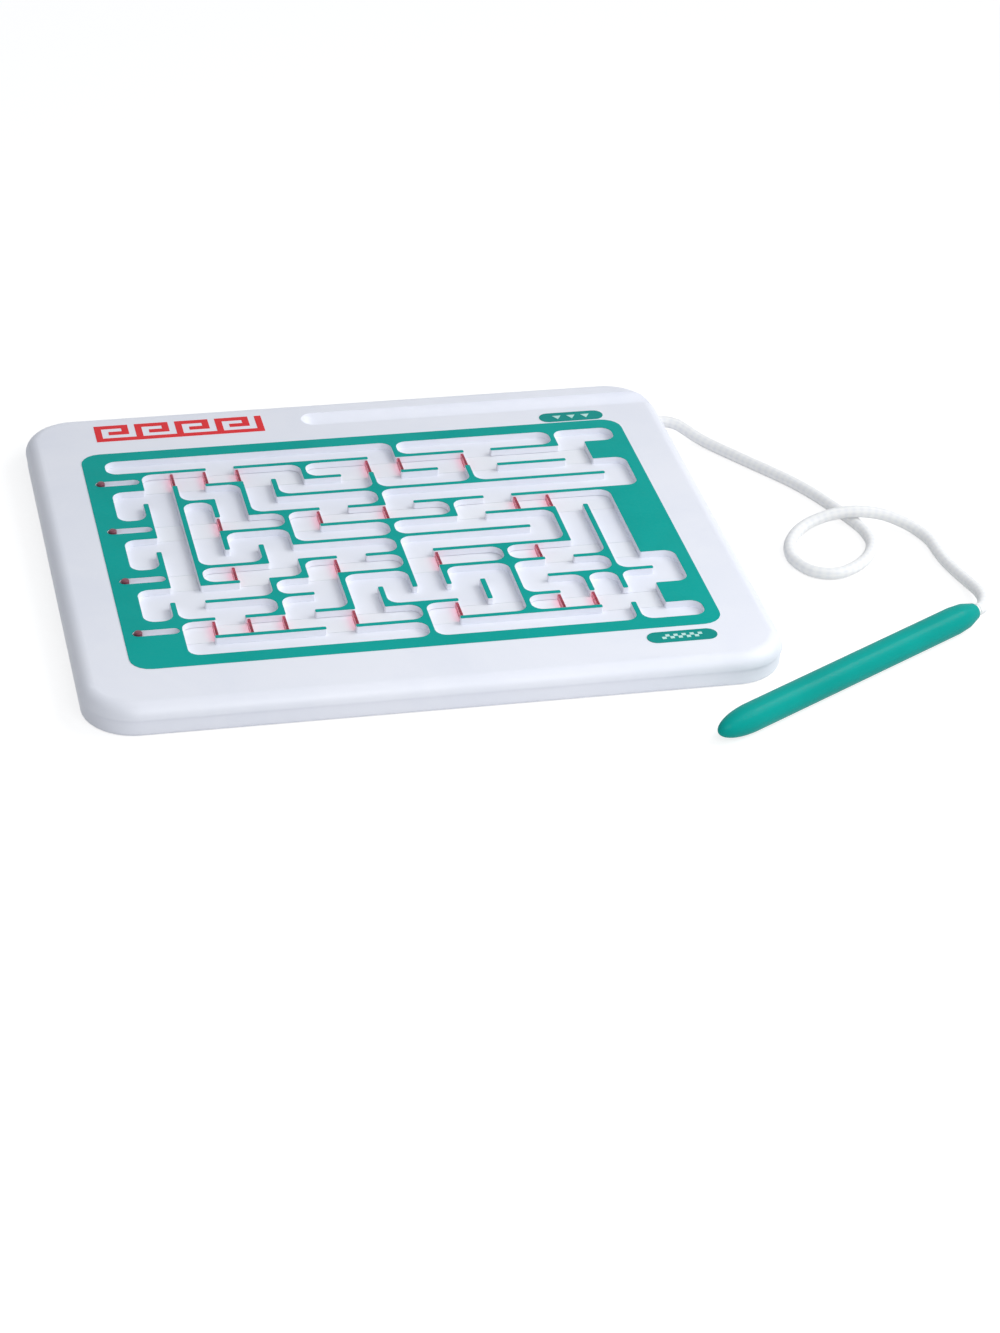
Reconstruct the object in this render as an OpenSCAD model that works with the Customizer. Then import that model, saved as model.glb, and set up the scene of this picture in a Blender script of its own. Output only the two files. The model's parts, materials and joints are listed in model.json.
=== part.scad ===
// Slide-gate maze board with a tethered stylus, lying on a table.
// Origin: middle of the board's underside. X to the right, Y to the back, Z up. Sizes in millimetres.

/* [Maze] */
// Distance from one maze lane to the next
pitch = 11; // [10.4:0.1:12]
// Thickness of the walls between lanes
wall_t = 1.9; // [1.5:0.1:2.3]
// Depth of the lanes below the printed face
lane_depth = 2.2; // [1.8:0.1:2.5]
// Radius of the rounded lane ends and bends
lane_r = 3.6; // [2:0.1:3.9]
// Radius on the free ends of the thin walls
wall_tip_r = 0.6; // [0.3:0.05:0.7]
// Thickness of the fixed lane floor
floor_t = 1.5; // [1.2:0.1:1.8]

/* [Print] */
// Width of the printed border round the maze
panel_margin = 5; // [4.8:0.1:7]
// Distance of the maze's middle to the right of the printed panel's middle
maze_shift = 1.6; // [1:0.1:2.2]
// Radius of the printed panel's corners
panel_r = 6.5; // [3:0.5:10]
// Thickness of the printed film
print_t = 0.15; // [0.1:0.05:0.3]
// White line left bare along every printed edge
print_inset = 0.15; // [0.1:0.05:0.3]
// Length of the start and finish pads
pad_l = 22.5; // [16:0.5:28]
// Height of the start and finish pads
pad_h = 6.4; // [4:0.1:8]
// Distance from the printed panel to the start pad
start_gap = 0.9; // [0.6:0.1:2]
// Distance from the printed panel to the finish pad
finish_gap = 2.9; // [0.6:0.1:4]
// Distance from the panel's right edge to the right end of a pad
pad_in = 4.2; // [3:0.1:12]

/* [Case] */
// White rim left and right of the printed panel
side_rim = 16.9; // [15.5:0.1:22]
// White rim in front of the printed panel
front_rim = 22.1; // [14:0.1:30]
// White rim behind the printed panel
back_rim = 29.4; // [26:0.1:36]
// Radius of the board's corners seen from above
corner_r = 17; // [12:0.5:20]
// Height of the bottom shell, up to the parting line
base_h = 5.8; // [5.4:0.1:7]
// Height of the top shell's rounded edge above the parting line
edge_h = 4.7; // [4.4:0.1:6]
// Reach of that rounded edge in from the side
edge_r = 5; // [3:0.1:6]
// Step from the top shell's side back to the bottom shell's side
shell_step = 0.5; // [0.3:0.1:0.8]
// Radius along the bottom shell's lower edge
foot_r = 1.6; // [0.8:0.1:2.2]
// Thickness of the back panel
back_t = 1.8; // [1.4:0.1:2.2]
// Thickness of the side walls, both shells
side_t = 3.2; // [2.8:0.1:3.6]
// Thickness of the top face over the hollow rim
skin_t = 2.4; // [2:0.1:2.6]
// Height of the locating lip on the bottom shell
lip_h = 0.9; // [0.6:0.1:1.2]
// Thickness of the locating lip
lip_t = 1.1; // [0.8:0.1:1.3]
// Clearance round the locating lip
lip_gap = 0.12; // [0.08:0.02:0.2]
// Thickness of the ribs inside the bottom shell
rib_t = 1.2; // [0.8:0.1:1.6]

/* [Sliders] */
// Thickness of the slider strips
strip_t = 2; // [1.6:0.1:2.2]
// Overlap of the fixed walls over each edge of a slider's slot
seam_lap = 0.45; // [0.3:0.05:0.6]
// Running clearance round a slider
slide_gap = 0.15; // [0.1:0.02:0.2]
// Thickness of the gate blades
gate_t = 0.9; // [0.7:0.1:1.2]
// Clearance between a gate blade and the lane walls
gate_gap = 0.3; // [0.2:0.05:0.5]
// Width of the tang that holds a gate in its slider
tang_w = 5; // [3:0.1:6]
// Depth of the tang in the slider
tang_h = 1.5; // [1:0.1:1.55]
// Radius of the finger peg on a slider
peg_r = 1.3; // [1:0.1:1.5]
// Height of the finger peg above the board's face
peg_out = 0.9; // [0.5:0.1:2]
// Clearance between the peg and its slot
peg_gap = 0.4; // [0.3:0.05:0.5]
// Distance from the maze's left edge out to the peg
peg_x = 1.9; // [1.4:0.1:2.4]
// Depth of the peg in the slider
peg_in = 1.5; // [1:0.1:1.55]
// Clearance of tangs and pegs in their sockets
seat_gap = 0.04; // [0.02:0.01:0.08]

/* [Screws] */
// Radius of the screw bosses
boss_r = 3.7; // [3.4:0.1:4]
// Radius of the screw heads
head_r = 2.3; // [1.9:0.1:2.4]
// Height of the screw heads
head_h = 1.6; // [1.2:0.1:1.8]
// Depth of the head seat above the board's underside
seat_h = 2.6; // [2.2:0.1:3]
// Radius of the screw thread
screw_r = 1.1; // [0.9:0.05:1.2]
// Distance from the board's side to the screw axes
screw_in = 9.6; // [8.6:0.1:10]
// Distance from the board's front to the first screw row
screw_front = 15; // [12:0.5:24]
// Distance from one screw row to the next
screw_step = 69; // [60:0.5:70]

/* [Stylus] */
// Length of the stylus
stylus_l = 115.5; // [100:0.5:122]
// Radius of the stylus body
stylus_r = 4.6; // [4:0.1:4.8]
// Length of the oval nose
point_l = 14; // [8:0.5:22]
// Length of the tapered tail
tail_l = 10; // [6:0.5:14]
// Radius of the tail's end face
tail_r = 2.8; // [2.7:0.1:3.6]
// Depth of the cord's socket in the tail
socket_l = 9; // [6:0.5:14]
// Direction from the tail to the nose, seen from above
stylus_turn = 210; // [209:0.5:240]
// Clearance between the stylus and its tray
tray_gap = 0.3; // [0.2:0.05:0.6]
// Depth of the stylus tray below the board's face
tray_depth = 3.2; // [2.4:0.1:3.4]
// Thickness of the tray's wall under the face
tray_t = 1.3; // [1:0.1:1.4]
// Distance from the back of the board to the tray's middle line
tray_back = 13.8; // [12:0.1:14.2]
// Distance from the board's right side to the stylus tail in the tray
tray_end = 9.5; // [4:0.5:12]

/* [Cord] */
// Diameter of the cord
cord_d = 4; // [3:0.1:4.2]
// Clearance round the cord in the case wall
cord_gap = 0.2; // [0.15:0.05:0.4]
// Radius of the knot that holds the cord in the case
knot_r = 2.75; // [2.3:0.05:2.8]
// Clearance where the cord's fixed end turns against the free cord
bend_gap = 0.3; // [0.2:0.05:0.5]
// Distance from the stylus tail out to the middle of that round end
tail_out = 1; // [0.5:0.1:2]

/* [Hidden] */
// Maze plan, back row first. o is a lane and # is solid. A dash joins a lane to the one on its right,
// and an upright bar in the line below joins it to the one in front. Gate places count as joined.
PLAN = [
    "o-o-o-o-o-o-o-o-o o-o-o-o-o o-o",
    "      |         |     |     |  ",
    "# o-o-o-o-o o-o-o-o-o-o-o-o-o #",
    "  | |   | |   | |   | |     |  ",
    "o-o o-o o o-o-o o-o-o o-o-o-o-o",
    "| |   | |                     |",
    "o o o o o-o-o-o o-o-o-o-o-o-o-o",
    "  | | |     |   |     |        ",
    "# o o-o-o o-o-o-o-o o-o-o-o-o #",
    "  | |     |         |     | |  ",
    "o-o o o-o o-o-o o-o-o-o-o o o #",
    "| | | | |               | | |  ",
    "o o o-o o-o-o-o o-o-o-o-o o o #",
    "  |     |   |   |         | |  ",
    "# o o-o-o o-o-o o-o-o o-o-o o #",
    "  |   |   |     |       |   |  ",
    "o-o-o-o o-o o-o o o-o o-o-o o-o",
    "| |       | | | | | | |       |",
    "o o-o-o o-o o o-o-o o o-o o o-o",
    "    |   |   |     | |   | | |  ",
    "# o-o-o-o-o-o-o o-o-o o-o-o-o #",
    "  |       |     |         | |  ",
    "# o-o-o-o-o-o-o o-o-o-o-o-o o-o",
];
// Rows that hold a slider, and the lane borders where each one's gates stand when it is pushed left
SLIDER_ROWS = [1, 4, 7, 10];
GATE_BORDERS = [
    [2, 3, 4, 8, 9, 11],
    [3, 6, 8, 12, 13],
    [3, 6, 9, 12],
    [2, 3, 4, 6, 9, 12, 13],
];
// Cord from the knot in the case, over the table and across itself, to the stylus.
// X counts from the board's right side and Z from the middle of the cord where it lies on the table
CORD_ROUTE = [
    [-5, 73, 3.2], [-2.4, 73, 3.2], [0.1, 73, 3.2], [3.2, 72.4, 3.1], [6, 70.8, 2.6], [8.3, 68.3, 1.8],
    [11.1, 64.5, 0.8], [14.3, 60, 0.2], [18.6, 53.8, 0], [24.1, 45.5, 0], [29.6, 37.3, 0], [34.9, 29, 0],
    [39.6, 20, 0], [43.7, 10, 0], [47.3, 0, 0], [49.7, -9.5, 0], [49.3, -18.5, 0], [45.1, -26.8, 0],
    [38.3, -33, 0], [31.6, -35.5, 0], [25.4, -33.4, 0], [21.7, -27.7, 0], [20.7, -21, 0],
    [22.6, -13.9, 0.4], [27.3, -7.6, 1.4], [33.6, -4.1, 2.6], [41, -2.8, 3.8], [48.6, -3, 4.2],
    [56.9, -4.2, 3.1], [63.9, -7.8, 1.2], [67.9, -13, 0.1], [69.5, -19.5, 0], [69.7, -26.5, 0],
    [70.2, -33.5, 0], [71.4, -40.5, 0], [72.7, -47.5, 0.3], [73.3, -54.2, 1.2], [73.1, -60, 2.1],
    [72.5, -63.6, 2.5], [71.4, -66.6, 2.6], [69.9, -69, 2.6],
];
// Sides of the cord's tube
CORD_SIDES = 8;
// Facets in a quarter of a board corner, of a small corner and of the rounded edge, and in a round end
CORNER_STEPS = 10;
SMALL_STEPS = 5;
EDGE_STEPS = 7;
END_STEPS = 8;
// Facets in a full turn of the round lane corners and of the turned pieces
LANE_FACETS = 20;
TURN_FACETS = 40;
// Overcut that keeps cutting faces off the faces they cut
over = 0.5;

columns = 16;
rows = 12;
lane_w = pitch - wall_t;
panel_w = columns * pitch + 2 * panel_margin;
panel_d = rows * pitch + 2 * panel_margin;
board_w = panel_w + 2 * side_rim;
board_d = panel_d + front_rim + back_rim;
board_h = base_h + edge_h;
panel_y = (front_rim - back_rim) / 2;
maze_left = maze_shift - columns * pitch / 2;
maze_back = panel_y + rows * pitch / 2;

floor_z = board_h - lane_depth;
slab_z = floor_z - floor_t;
strip_z = floor_z - strip_t;
rim_z = board_h - skin_t;

slot_w = lane_w + 2 * seam_lap;
strip_w = slot_w - 2 * slide_gap;
peg_slot_w = 2 * (peg_r + peg_gap);
strip_left = maze_left - peg_x - strip_w / 3;
strip_right = maze_left + (columns - 1) * pitch + seam_lap;
slot_left = strip_left - slide_gap;
slot_right = strip_right + pitch + slide_gap;

tray_r = stylus_r + tray_gap;
tray_y = board_d / 2 - tray_back;
tray_z = board_h - tray_depth + tray_r;
tray_left = board_w / 2 - tray_end - stylus_l - tray_gap;

cord_r = cord_d / 2;
route = [for (p = CORD_ROUTE) p + [board_w / 2, 0, cord_r]];
cord_start = route[0];
cord_stop = route[len(route) - 1];
// The free cord stops short of the stylus, whose own stub of cord has a round end on the turning axis
stub_l = cord_r + bend_gap;
tail_x = cord_stop[0] + (stub_l + tail_out) * cos(stylus_turn);
tail_y = cord_stop[1] + (stub_l + tail_out) * sin(stylus_turn);

screw_places = [for (x = [-1, 1], k = [0:2])
    [x * (board_w / 2 - screw_in), screw_front + k * screw_step - board_d / 2]];

// Points of a rectangle with rounded corners
function rounded(w, d, r, steps) = [for (k = [0:3], j = [0:steps])
    let (a = 90 * (k + j / steps), sx = (k == 0 || k == 3) ? 1 : -1, sy = k < 2 ? 1 : -1)
    [sx * (w / 2 - r) + r * cos(a), sy * (d / 2 - r) + r * sin(a)]];

// The board's outline, drawn in from its side by the inset
function board_outline(inset) =
    rounded(board_w - 2 * inset, board_d - 2 * inset, corner_r - inset, CORNER_STEPS);

// Points of an arc in a profile
function arc(x, y, r, from, to, steps) =
    [for (j = [0:steps]) let (a = from + (to - from) * j / steps) [x + r * cos(a), y + r * sin(a)]];

function lane_x(column) = maze_left + (column + 0.5) * pitch;
function lane_y(row) = maze_back - (row + 0.5) * pitch;
function raise(outline, z) = [for (p = outline) [p[0], p[1], z]];
function unit(v) = v / norm(v);

// Closed skin over a stack of rings that have the same number of points
module loft(rings) {
    n = len(rings[0]);
    last = len(rings) - 1;
    sides = [for (k = [0:last - 1], j = [0:n - 1])
        [k * n + j, (k + 1) * n + j, (k + 1) * n + (j + 1) % n, k * n + (j + 1) % n]];
    caps = [[for (j = [0:n - 1]) j], [for (j = [n - 1:-1:0]) last * n + j]];
    polyhedron([for (ring = rings) each ring], concat(sides, caps), convexity = 4);
}

// Upright block on the board's outline
module board_block(inset, z0, z1) {
    translate([0, 0, z0]) linear_extrude(z1 - z0) polygon(board_outline(inset));
}

// Stadium or rounded rectangle in the plane
module rounded_2d(w, d, r) {
    polygon(rounded(w, d, r, SMALL_STEPS));
}

// All the lanes of the plan, with rounded bends and rounded wall ends
module lanes_2d() {
    offset(r = -wall_tip_r, $fn = LANE_FACETS) offset(delta = wall_tip_r)
    offset(r = lane_r, $fn = LANE_FACETS) offset(delta = -lane_r)
    for (row = [0:rows - 1], column = [0:columns - 1]) translate([lane_x(column), lane_y(row)]) {
        if (PLAN[2 * row][2 * column] == "o") square(lane_w, center = true);
        if (PLAN[2 * row][2 * column + 1] == "-")
            translate([pitch / 2, 0]) square([pitch, lane_w], center = true);
        if (row < rows - 1 && PLAN[2 * row + 1][2 * column] == "|")
            translate([0, -pitch / 2]) square([lane_w, pitch], center = true);
    }
}

// Slot that a slider's peg travels in
module peg_slot_2d(k) {
    translate([maze_left - peg_x + pitch / 2, lane_y(SLIDER_ROWS[k])])
    rounded_2d(pitch + peg_slot_w, peg_slot_w, peg_slot_w / 2);
}

module panel_2d(grow = 0) {
    translate([0, panel_y]) rounded_2d(panel_w + 2 * grow, panel_d + 2 * grow, panel_r + grow);
}

// Hollow between the rim's side wall and the block that carries the maze
module rim_hollow() {
    translate([0, 0, slab_z - over]) linear_extrude(rim_z - slab_z + over) difference() {
        polygon(board_outline(side_t));
        panel_2d(grow = tray_t);
    }
}

// Bar along the stylus tray, with a round end on the left
module tray_bar(r, left, right) {
    end = arc(0, r, r, -90, 0, END_STEPS);
    translate([left, tray_y, tray_z]) rotate([0, 90, 0]) rotate_extrude($fn = TURN_FACETS)
    polygon(concat(end, [[r, right - left], [0, right - left]]));
}

// Trough that hangs under the face and holds the tray
module tray_wall() {
    intersection() {
        tray_bar(tray_r + tray_t, tray_left - tray_t, board_w / 2 - side_t + over);
        board_block(side_t - over, base_h, rim_z + over);
    }
}

// Hole through the side wall where the cord leaves the case
module cord_hole() {
    translate([cord_start[0], cord_start[1], cord_start[2]]) rotate([0, 90, 0])
    cylinder(h = board_w / 2 - cord_start[0] + over, r = cord_r + cord_gap, $fn = TURN_FACETS);
}

module at_screws(z) {
    for (place = screw_places) translate([place[0], place[1], z]) children();
}

module top_shell() {
    screw_top = rim_z + skin_t / 2;
    edge = [for (j = [0:EDGE_STEPS]) let (a = 90 * j / EDGE_STEPS)
        raise(board_outline(edge_r * (1 - cos(a))), base_h + edge_h * sin(a))];
    color("whitesmoke") difference() {
        union() {
            difference() {
                loft(edge);
                board_block(side_t, base_h - over, slab_z);
                rim_hollow();
            }
            tray_wall();
            at_screws(base_h) cylinder(h = rim_z - base_h + over, r = boss_r, $fn = TURN_FACETS);
        }
        translate([0, 0, floor_z]) linear_extrude(lane_depth + over) lanes_2d();
        for (k = [0:3]) {
            translate([0, 0, floor_z]) linear_extrude(lane_depth + over) peg_slot_2d(k);
            translate([slot_left, lane_y(SLIDER_ROWS[k]) - slot_w / 2, slab_z - over])
            cube([slot_right - slot_left, slot_w, floor_z + slide_gap - slab_z + over]);
        }
        tray_bar(tray_r, tray_left, board_w / 2 + over);
        difference() {
            board_block(side_t - lip_t - lip_gap, base_h - over, base_h + lip_h + lip_gap);
            board_block(side_t + lip_gap, base_h - 2 * over, base_h + lip_h + over);
        }
        cord_hole();
        at_screws(base_h - over)
        cylinder(h = screw_top - base_h + over, r = screw_r + seat_gap, $fn = TURN_FACETS);
    }
}

module bottom_shell() {
    foot = [for (j = [0:SMALL_STEPS]) let (a = 90 * j / SMALL_STEPS)
        raise(board_outline(shell_step + foot_r * (1 - sin(a))), foot_r * (1 - cos(a)))];
    rib_l = slot_right - slot_left;
    color("white") difference() {
        union() {
            difference() {
                loft(concat(foot, [raise(board_outline(shell_step), base_h)]));
                board_block(side_t, back_t, base_h + over);
            }
            difference() {
                board_block(side_t - lip_t, base_h - lip_h, base_h + lip_h);
                board_block(side_t, base_h - lip_h - over, base_h + lip_h + over);
            }
            at_screws(back_t - over) cylinder(h = base_h - back_t + over, r = boss_r, $fn = TURN_FACETS);
            // Two runners under each slider, then stays under the fixed floor between the sliders
            for (row = SLIDER_ROWS, side = [-1, 1])
                translate([slot_left, lane_y(row) + side * strip_w / 3 - rib_t / 2, back_t - over])
                cube([rib_l, rib_t, strip_z - slide_gap - back_t + over]);
            for (border = [0:3:rows])
                translate([slot_left, maze_back - border * pitch - rib_t / 2, back_t - over])
                cube([rib_l, rib_t, slab_z - back_t + over]);
        }
        cord_hole();
        at_screws(-over) cylinder(h = seat_h + over, r = head_r + lip_gap, $fn = TURN_FACETS);
        at_screws(0) cylinder(h = base_h + over, r = screw_r + cord_gap, $fn = TURN_FACETS);
    }
}

module maze_print() {
    color("lightseagreen") translate([0, 0, board_h]) linear_extrude(print_t) difference() {
        panel_2d();
        offset(delta = print_inset) lanes_2d();
        offset(delta = print_inset) for (k = [0:3]) peg_slot_2d(k);
    }
}

module pad(side, gap) {
    color("teal") translate([panel_w / 2 - pad_in - pad_l / 2, 0, board_h])
    translate([0, panel_y + side * (panel_d / 2 + gap + pad_h / 2), 0])
    linear_extrude(print_t) rounded_2d(pad_l, pad_h, pad_h / 2);
}

module start_pad() pad(1, start_gap);
module finish_pad() pad(-1, finish_gap);

// White strip that is the floor of its whole row, with a socket for each gate and for the peg
module slider(k) {
    color("white") translate([0, lane_y(SLIDER_ROWS[k]), 0]) difference() {
        translate([strip_left, -strip_w / 2, strip_z]) cube([strip_right - strip_left, strip_w, strip_t]);
        for (border = GATE_BORDERS[k]) translate([maze_left + border * pitch, 0, floor_z - tang_h - seat_gap])
            linear_extrude(tang_h + over) square([gate_t, tang_w] + [2, 2] * seat_gap, center = true);
        translate([maze_left - peg_x, 0, floor_z - peg_in - seat_gap])
        cylinder(h = peg_in + over, r = peg_r + seat_gap, $fn = TURN_FACETS);
    }
}

module slider_1() slider(0);
module slider_2() slider(1);
module slider_3() slider(2);
module slider_4() slider(3);

// Thin blade as wide as the lane, with rounded shoulders and a tang below
module gate() {
    half = lane_w / 2 - gate_gap;
    shoulder = lane_depth / 4;
    side = arc(half - shoulder, lane_depth - shoulder, shoulder, 0, 90, SMALL_STEPS);
    tang = [[-tang_w / 2, 0], [-tang_w / 2, -tang_h], [tang_w / 2, -tang_h], [tang_w / 2, 0], [half, 0]];
    other = [for (j = [len(side) - 1:-1:0]) [-side[j][0], side[j][1]]];
    rotate([90, 0, 90]) linear_extrude(gate_t, center = true)
    polygon(concat(tang, side, other, [[-half, 0]]));
}

module gates(k) {
    color("crimson") for (border = GATE_BORDERS[k])
        translate([maze_left + border * pitch, lane_y(SLIDER_ROWS[k]), floor_z]) gate();
}

module gates_1() gates(0);
module gates_2() gates(1);
module gates_3() gates(2);
module gates_4() gates(3);

module peg(k) {
    dome = peg_r / 2;
    top = lane_depth + peg_out;
    shoulder = arc(peg_r - dome, top - dome, dome, 0, 90, SMALL_STEPS);
    color("firebrick") translate([maze_left - peg_x, lane_y(SLIDER_ROWS[k]), floor_z])
    rotate_extrude($fn = TURN_FACETS)
    polygon(concat([[0, -peg_in], [peg_r, -peg_in]], shoulder, [[0, top]]));
}

module peg_1() peg(0);
module peg_2() peg(1);
module peg_3() peg(2);
module peg_4() peg(3);

// Self-tapping screws put in from the back
module case_screws() {
    point = 1.5 * screw_r;
    tip_r = screw_r / 4;
    face_r = 0.8 * head_r;
    tip = rim_z - seat_h;
    color("silver") at_screws(seat_h) rotate_extrude($fn = TURN_FACETS)
    polygon([[0, -head_h], [face_r, -head_h], [head_r, -head_h / 2], [head_r, 0], [screw_r, 0],
        [screw_r, tip - point], [tip_r, tip], [0, tip]]);
}

// Knot on the cord, inside the hollow of the rim
module case_knot() {
    face = 0.9 * knot_r;
    neck = acos(cord_r / knot_r);
    color("ghostwhite") translate([cord_start[0] - face, cord_start[1], cord_start[2]]) rotate([0, 90, 0])
    rotate_extrude($fn = TURN_FACETS)
    polygon(concat([[0, face], [cord_r, face]], arc(0, 0, knot_r, neck, -90, END_STEPS)));
}

// Ring of the cord's tube, square to the way the route runs there
function cord_ring(k) =
    let (last = len(route) - 1,
        along = unit(route[min(k + 1, last)] - route[max(k - 1, 0)]),
        side = unit(cross([0, 0, 1], along)),
        up = cross(along, side))
    [for (j = [0:CORD_SIDES - 1]) let (a = 360 * (j + 0.5) / CORD_SIDES)
        route[k] + cord_r * (cos(a) * side + sin(a) * up)];

module cord() {
    color("ghostwhite") loft([for (k = [0:len(route) - 1]) cord_ring(k)]);
}

// Place of the stylus: along its own X from the middle of the tail's end face to the nose
module on_stylus_axis() {
    translate([tail_x, tail_y, stylus_r]) rotate([0, 0, stylus_turn]) rotate([0, 90, 0]) children();
}

// Stub of cord glued into the stylus, with a round end on the axis that the stylus swings about
module cord_end() {
    color("ghostwhite") on_stylus_axis() rotate_extrude($fn = TURN_FACETS)
    polygon(concat(arc(0, -tail_out, cord_r, -90, 0, END_STEPS), [[cord_r, socket_l], [0, socket_l]]));
}

module stylus() {
    tail_edge = tail_r / 5;
    swell = (tail_r + 3 * stylus_r) / 4;
    nose = [for (j = [0:END_STEPS]) let (a = 90 * j / END_STEPS)
        [stylus_r * cos(a), stylus_l - point_l * (1 - sin(a))]];
    color("lightseagreen") on_stylus_axis() difference() {
        rotate_extrude($fn = TURN_FACETS)
        polygon(concat([[0, 0]], arc(tail_r - tail_edge, tail_edge, tail_edge, -90, 0, SMALL_STEPS),
            [[swell, tail_l / 2], [stylus_r, tail_l]], nose));
        translate([0, 0, -over]) cylinder(h = socket_l + over, r = cord_r + seat_gap, $fn = TURN_FACETS);
    }
}

top_shell();
bottom_shell();
maze_print();
start_pad();
finish_pad();
slider_1();
slider_2();
slider_3();
slider_4();
gates_1();
gates_2();
gates_3();
gates_4();
peg_1();
peg_2();
peg_3();
peg_4();
case_screws();
case_knot();
cord();
cord_end();
stylus();
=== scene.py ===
# %% [markdown]
# # A slide-gate maze board
# A flat white case holds a maze of shallow lanes. Four hidden sliders carry red gates across the lanes, and a
# teal stylus on a white cord pushes them as it finds its way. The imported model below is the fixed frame: it
# gives every piece its size and place, and this lesson gives each piece its finished shape and its material.

# %% Load the frame
import json
import math

import bmesh
import bpy
from mathutils import Color, Matrix, Vector
from mathutils.geometry import interpolate_bezier


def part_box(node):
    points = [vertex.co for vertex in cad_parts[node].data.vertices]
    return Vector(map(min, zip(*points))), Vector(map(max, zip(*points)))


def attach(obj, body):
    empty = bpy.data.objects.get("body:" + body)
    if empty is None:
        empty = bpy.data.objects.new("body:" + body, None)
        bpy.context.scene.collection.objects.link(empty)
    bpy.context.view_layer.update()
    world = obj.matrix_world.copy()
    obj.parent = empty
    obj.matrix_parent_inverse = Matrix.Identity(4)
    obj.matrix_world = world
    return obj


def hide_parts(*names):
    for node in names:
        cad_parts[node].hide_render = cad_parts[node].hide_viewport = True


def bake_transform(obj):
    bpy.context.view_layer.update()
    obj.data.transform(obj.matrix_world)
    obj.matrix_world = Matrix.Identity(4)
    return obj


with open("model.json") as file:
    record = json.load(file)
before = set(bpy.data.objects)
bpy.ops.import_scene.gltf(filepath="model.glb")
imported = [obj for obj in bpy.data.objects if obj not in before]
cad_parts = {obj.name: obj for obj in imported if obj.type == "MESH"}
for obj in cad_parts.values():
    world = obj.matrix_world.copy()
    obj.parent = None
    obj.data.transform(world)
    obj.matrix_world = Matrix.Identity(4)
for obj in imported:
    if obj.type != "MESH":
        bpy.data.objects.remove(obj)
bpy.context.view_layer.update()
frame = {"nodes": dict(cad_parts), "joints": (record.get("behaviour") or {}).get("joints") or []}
scene = bpy.context.scene
MM = 0.001

# %% [markdown]
# ## Camera
# The photograph looks down on the board from the front left with a long lens, and it is tilted a little. A
# camera can be aimed by Euler angles, but a place, a point to look at and a roll are easier to read and to
# correct, so the rotation is worked out from those three.

# %% Camera at the photograph's viewing angle
CAMERA_PLACE = Vector((-0.1947, -0.9934, 0.5638))
CAMERA_AIM = Vector((0.0177, -0.0899, 0.0105))
CAMERA_ROLL = math.radians(2.1)
CAMERA_LENS = 95.7
CAMERA_NEAR = 0.05

camera_data = bpy.data.cameras.new("camera")
camera_data.lens = CAMERA_LENS
camera_data.clip_start = CAMERA_NEAR
camera = bpy.data.objects.new("camera", camera_data)
scene.collection.objects.link(camera)
look = (CAMERA_AIM - CAMERA_PLACE).to_track_quat("-Z", "Y").to_matrix().to_4x4()
camera.matrix_world = Matrix.Translation(CAMERA_PLACE) @ look @ Matrix.Rotation(CAMERA_ROLL, 4, "Z")
scene.camera = camera
print("camera:", round((CAMERA_AIM - CAMERA_PLACE).length, 3), "m from its aim")

# %% [markdown]
# ## Helpers for materials
# Every finish here is a small tree of nodes. One helper adds a node, sets its values and links its inputs in
# a single call, so that a material reads as a short recipe. Colours are written as they look on a screen,
# from 0 to 255, and turned into the linear values that shaders work with.

# %% Colour and node helpers
def screen_colour(red, green, blue):
    """Linear colour with alpha from the 0 to 255 values of a screen."""
    shown = Color((red / 255, green / 255, blue / 255))
    return (*shown.from_srgb_to_scene_linear(), 1.0)


def fill_inputs(tree, node, inputs):
    """Link or set a node's inputs: a socket is linked, anything else is a plain value."""
    for key, value in inputs.items():
        if isinstance(value, bpy.types.NodeSocket):
            tree.links.new(value, node.inputs[key])
        else:
            node.inputs[key].default_value = value


def put(tree, kind, inputs=None, **settings):
    """Add a shader node with its settings and its inputs."""
    made = tree.nodes.new("ShaderNode" + kind)
    for name, value in settings.items():
        setattr(made, name, value)
    fill_inputs(tree, made, inputs or {})
    return made


def maths(tree, operation, first, second=0.0):
    """The result of a Math node."""
    return put(tree, "Math", {0: first, 1: second}, operation=operation).outputs[0]


print("node helpers ready")

# %% Material helpers
def empty_tree(holder):
    """The node tree of a material or a world, without the nodes that it starts with."""
    holder.use_nodes = True
    holder.node_tree.nodes.clear()
    return holder.node_tree


def new_material(name, **principled):
    """A material with a Principled shader whose plain values are set here, and its Object coordinates."""
    material = bpy.data.materials.new(name)
    tree = empty_tree(material)
    plain = {key.replace("_", " "): value for key, value in principled.items()}
    shader = put(tree, "BsdfPrincipled", plain)
    put(tree, "OutputMaterial", {"Surface": shader.outputs["BSDF"]})
    place = put(tree, "TexCoord").outputs["Object"]
    return material, tree, shader, place


print("material helpers ready")

# %% [markdown]
# ## Helper for pieces
# A finished piece sits at the origin with its place in its mesh, rides on a body of the frame and may stand
# for a node. Edges that turn more than a set angle stay sharp, and the rest are shaded smooth. A
# weighted-normal modifier keeps the large flat faces flat beside their small rounded edges.

# %% Piece helper
SHARP_ANGLE = math.radians(48)


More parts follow.
